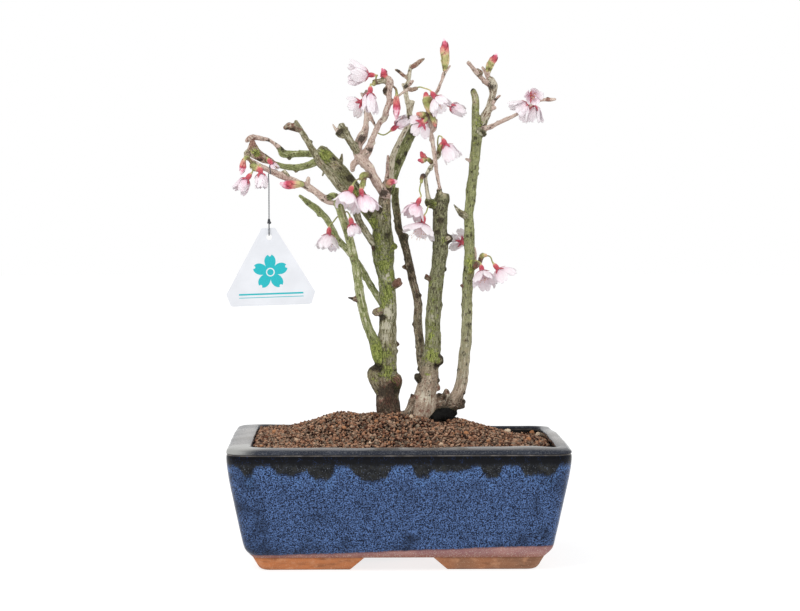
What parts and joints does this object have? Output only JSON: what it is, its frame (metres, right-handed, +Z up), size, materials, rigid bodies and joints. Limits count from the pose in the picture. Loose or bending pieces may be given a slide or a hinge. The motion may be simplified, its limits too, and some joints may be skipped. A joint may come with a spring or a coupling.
{
  "type": "cherry blossom bonsai",
  "caption": "Flowering cherry bonsai: clumps of mossy upright stems with sparse pale pink blossoms and buds, in a blue glazed rectangular pot with soil and a hanging label.",
  "frame": {"origin": "on the ground under the middle of the pot", "axes": "+Z up along the trunks, +X to the right along the pot's long side seen from the front, +Y to the back"},
  "size_m": [0.3062, 0.23, 0.4733],
  "materials": {
    "glazed_stoneware": "mottled dark blue glaze over brown stoneware, bare at its foot",
    "bare_clay": "unglazed fired clay, matt",
    "granular_soil": "loose baked clay granules",
    "living_bark": "rough bark with moss and lichen",
    "mesh_plastic": "matt",
    "clip_wire": "anodised brown",
    "petal": "thin soft petals",
    "calyx_and_stalk": "soft green and crimson plant tissue",
    "flower_bud": "soft pink and green plant tissue",
    "label_plastic": "smooth white sheet",
    "label_thread": "twisted dark thread"
  },
  "bodies": {
    "root": {"bud_crimson": "flower_bud", "bud_hanging": "flower_bud", "bud_label_shoot": "flower_bud", "bud_top": "flower_bud", "bud_top_right": "flower_bud", "bud_trunk_top": "flower_bud", "buds_twin": "flower_bud", "drain_clip_left": "clip_wire", "drain_clip_right": "clip_wire", "drain_screen_left": "mesh_plastic", "drain_screen_right": "mesh_plastic", "foot_back_left": "bare_clay", "foot_back_right": "bare_clay", "foot_front_left": "bare_clay", "foot_front_right": "bare_clay", "petals_between_trunks": "petal", "petals_crown_far_right": "petal", "petals_crown_front": "petal", "petals_crown_low": "petal", "petals_crown_right": "petal", "petals_heart_left": "petal", "petals_heart_low": "petal", "petals_heart_right": "petal", "petals_label_shoot_left": "petal", "petals_label_shoot_right": "petal", "petals_left_low": "petal", "petals_limb_end": "petal", "petals_low_right_cup": "petal", "petals_low_right_side": "petal", "petals_middle_lower": "petal", "petals_middle_upper": "petal", "petals_right_front": "petal", "petals_right_hanging": "petal", "petals_right_left": "petal", "petals_small_middle": "petal", "petals_top_left": "petal", "petals_top_left_behind": "petal", "petals_top_left_hanging": "petal", "pot": "glazed_stoneware", "soil": "granular_soil", "stalk_between_trunks": "calyx_and_stalk", "stalk_heart_low": "calyx_and_stalk", "stalk_left_low": "calyx_and_stalk", "stalk_limb_end": "calyx_and_stalk", "stalk_low_right_cup": "calyx_and_stalk", "stalk_low_right_side": "calyx_and_stalk", "stalk_middle_lower": "calyx_and_stalk", "stalk_middle_upper": "calyx_and_stalk", "stalks_crown": "calyx_and_stalk", "stalks_heart": "calyx_and_stalk", "stalks_label_shoot": "calyx_and_stalk", "stalks_right": "calyx_and_stalk", "stalks_small_middle": "calyx_and_stalk", "stalks_top_left": "calyx_and_stalk", "stalks_top_left_behind": "calyx_and_stalk", "tag": "label_plastic", "tag_thread": "label_thread", "tree_left": "living_bark", "tree_right": "living_bark"}
  },
  "joints": []
}
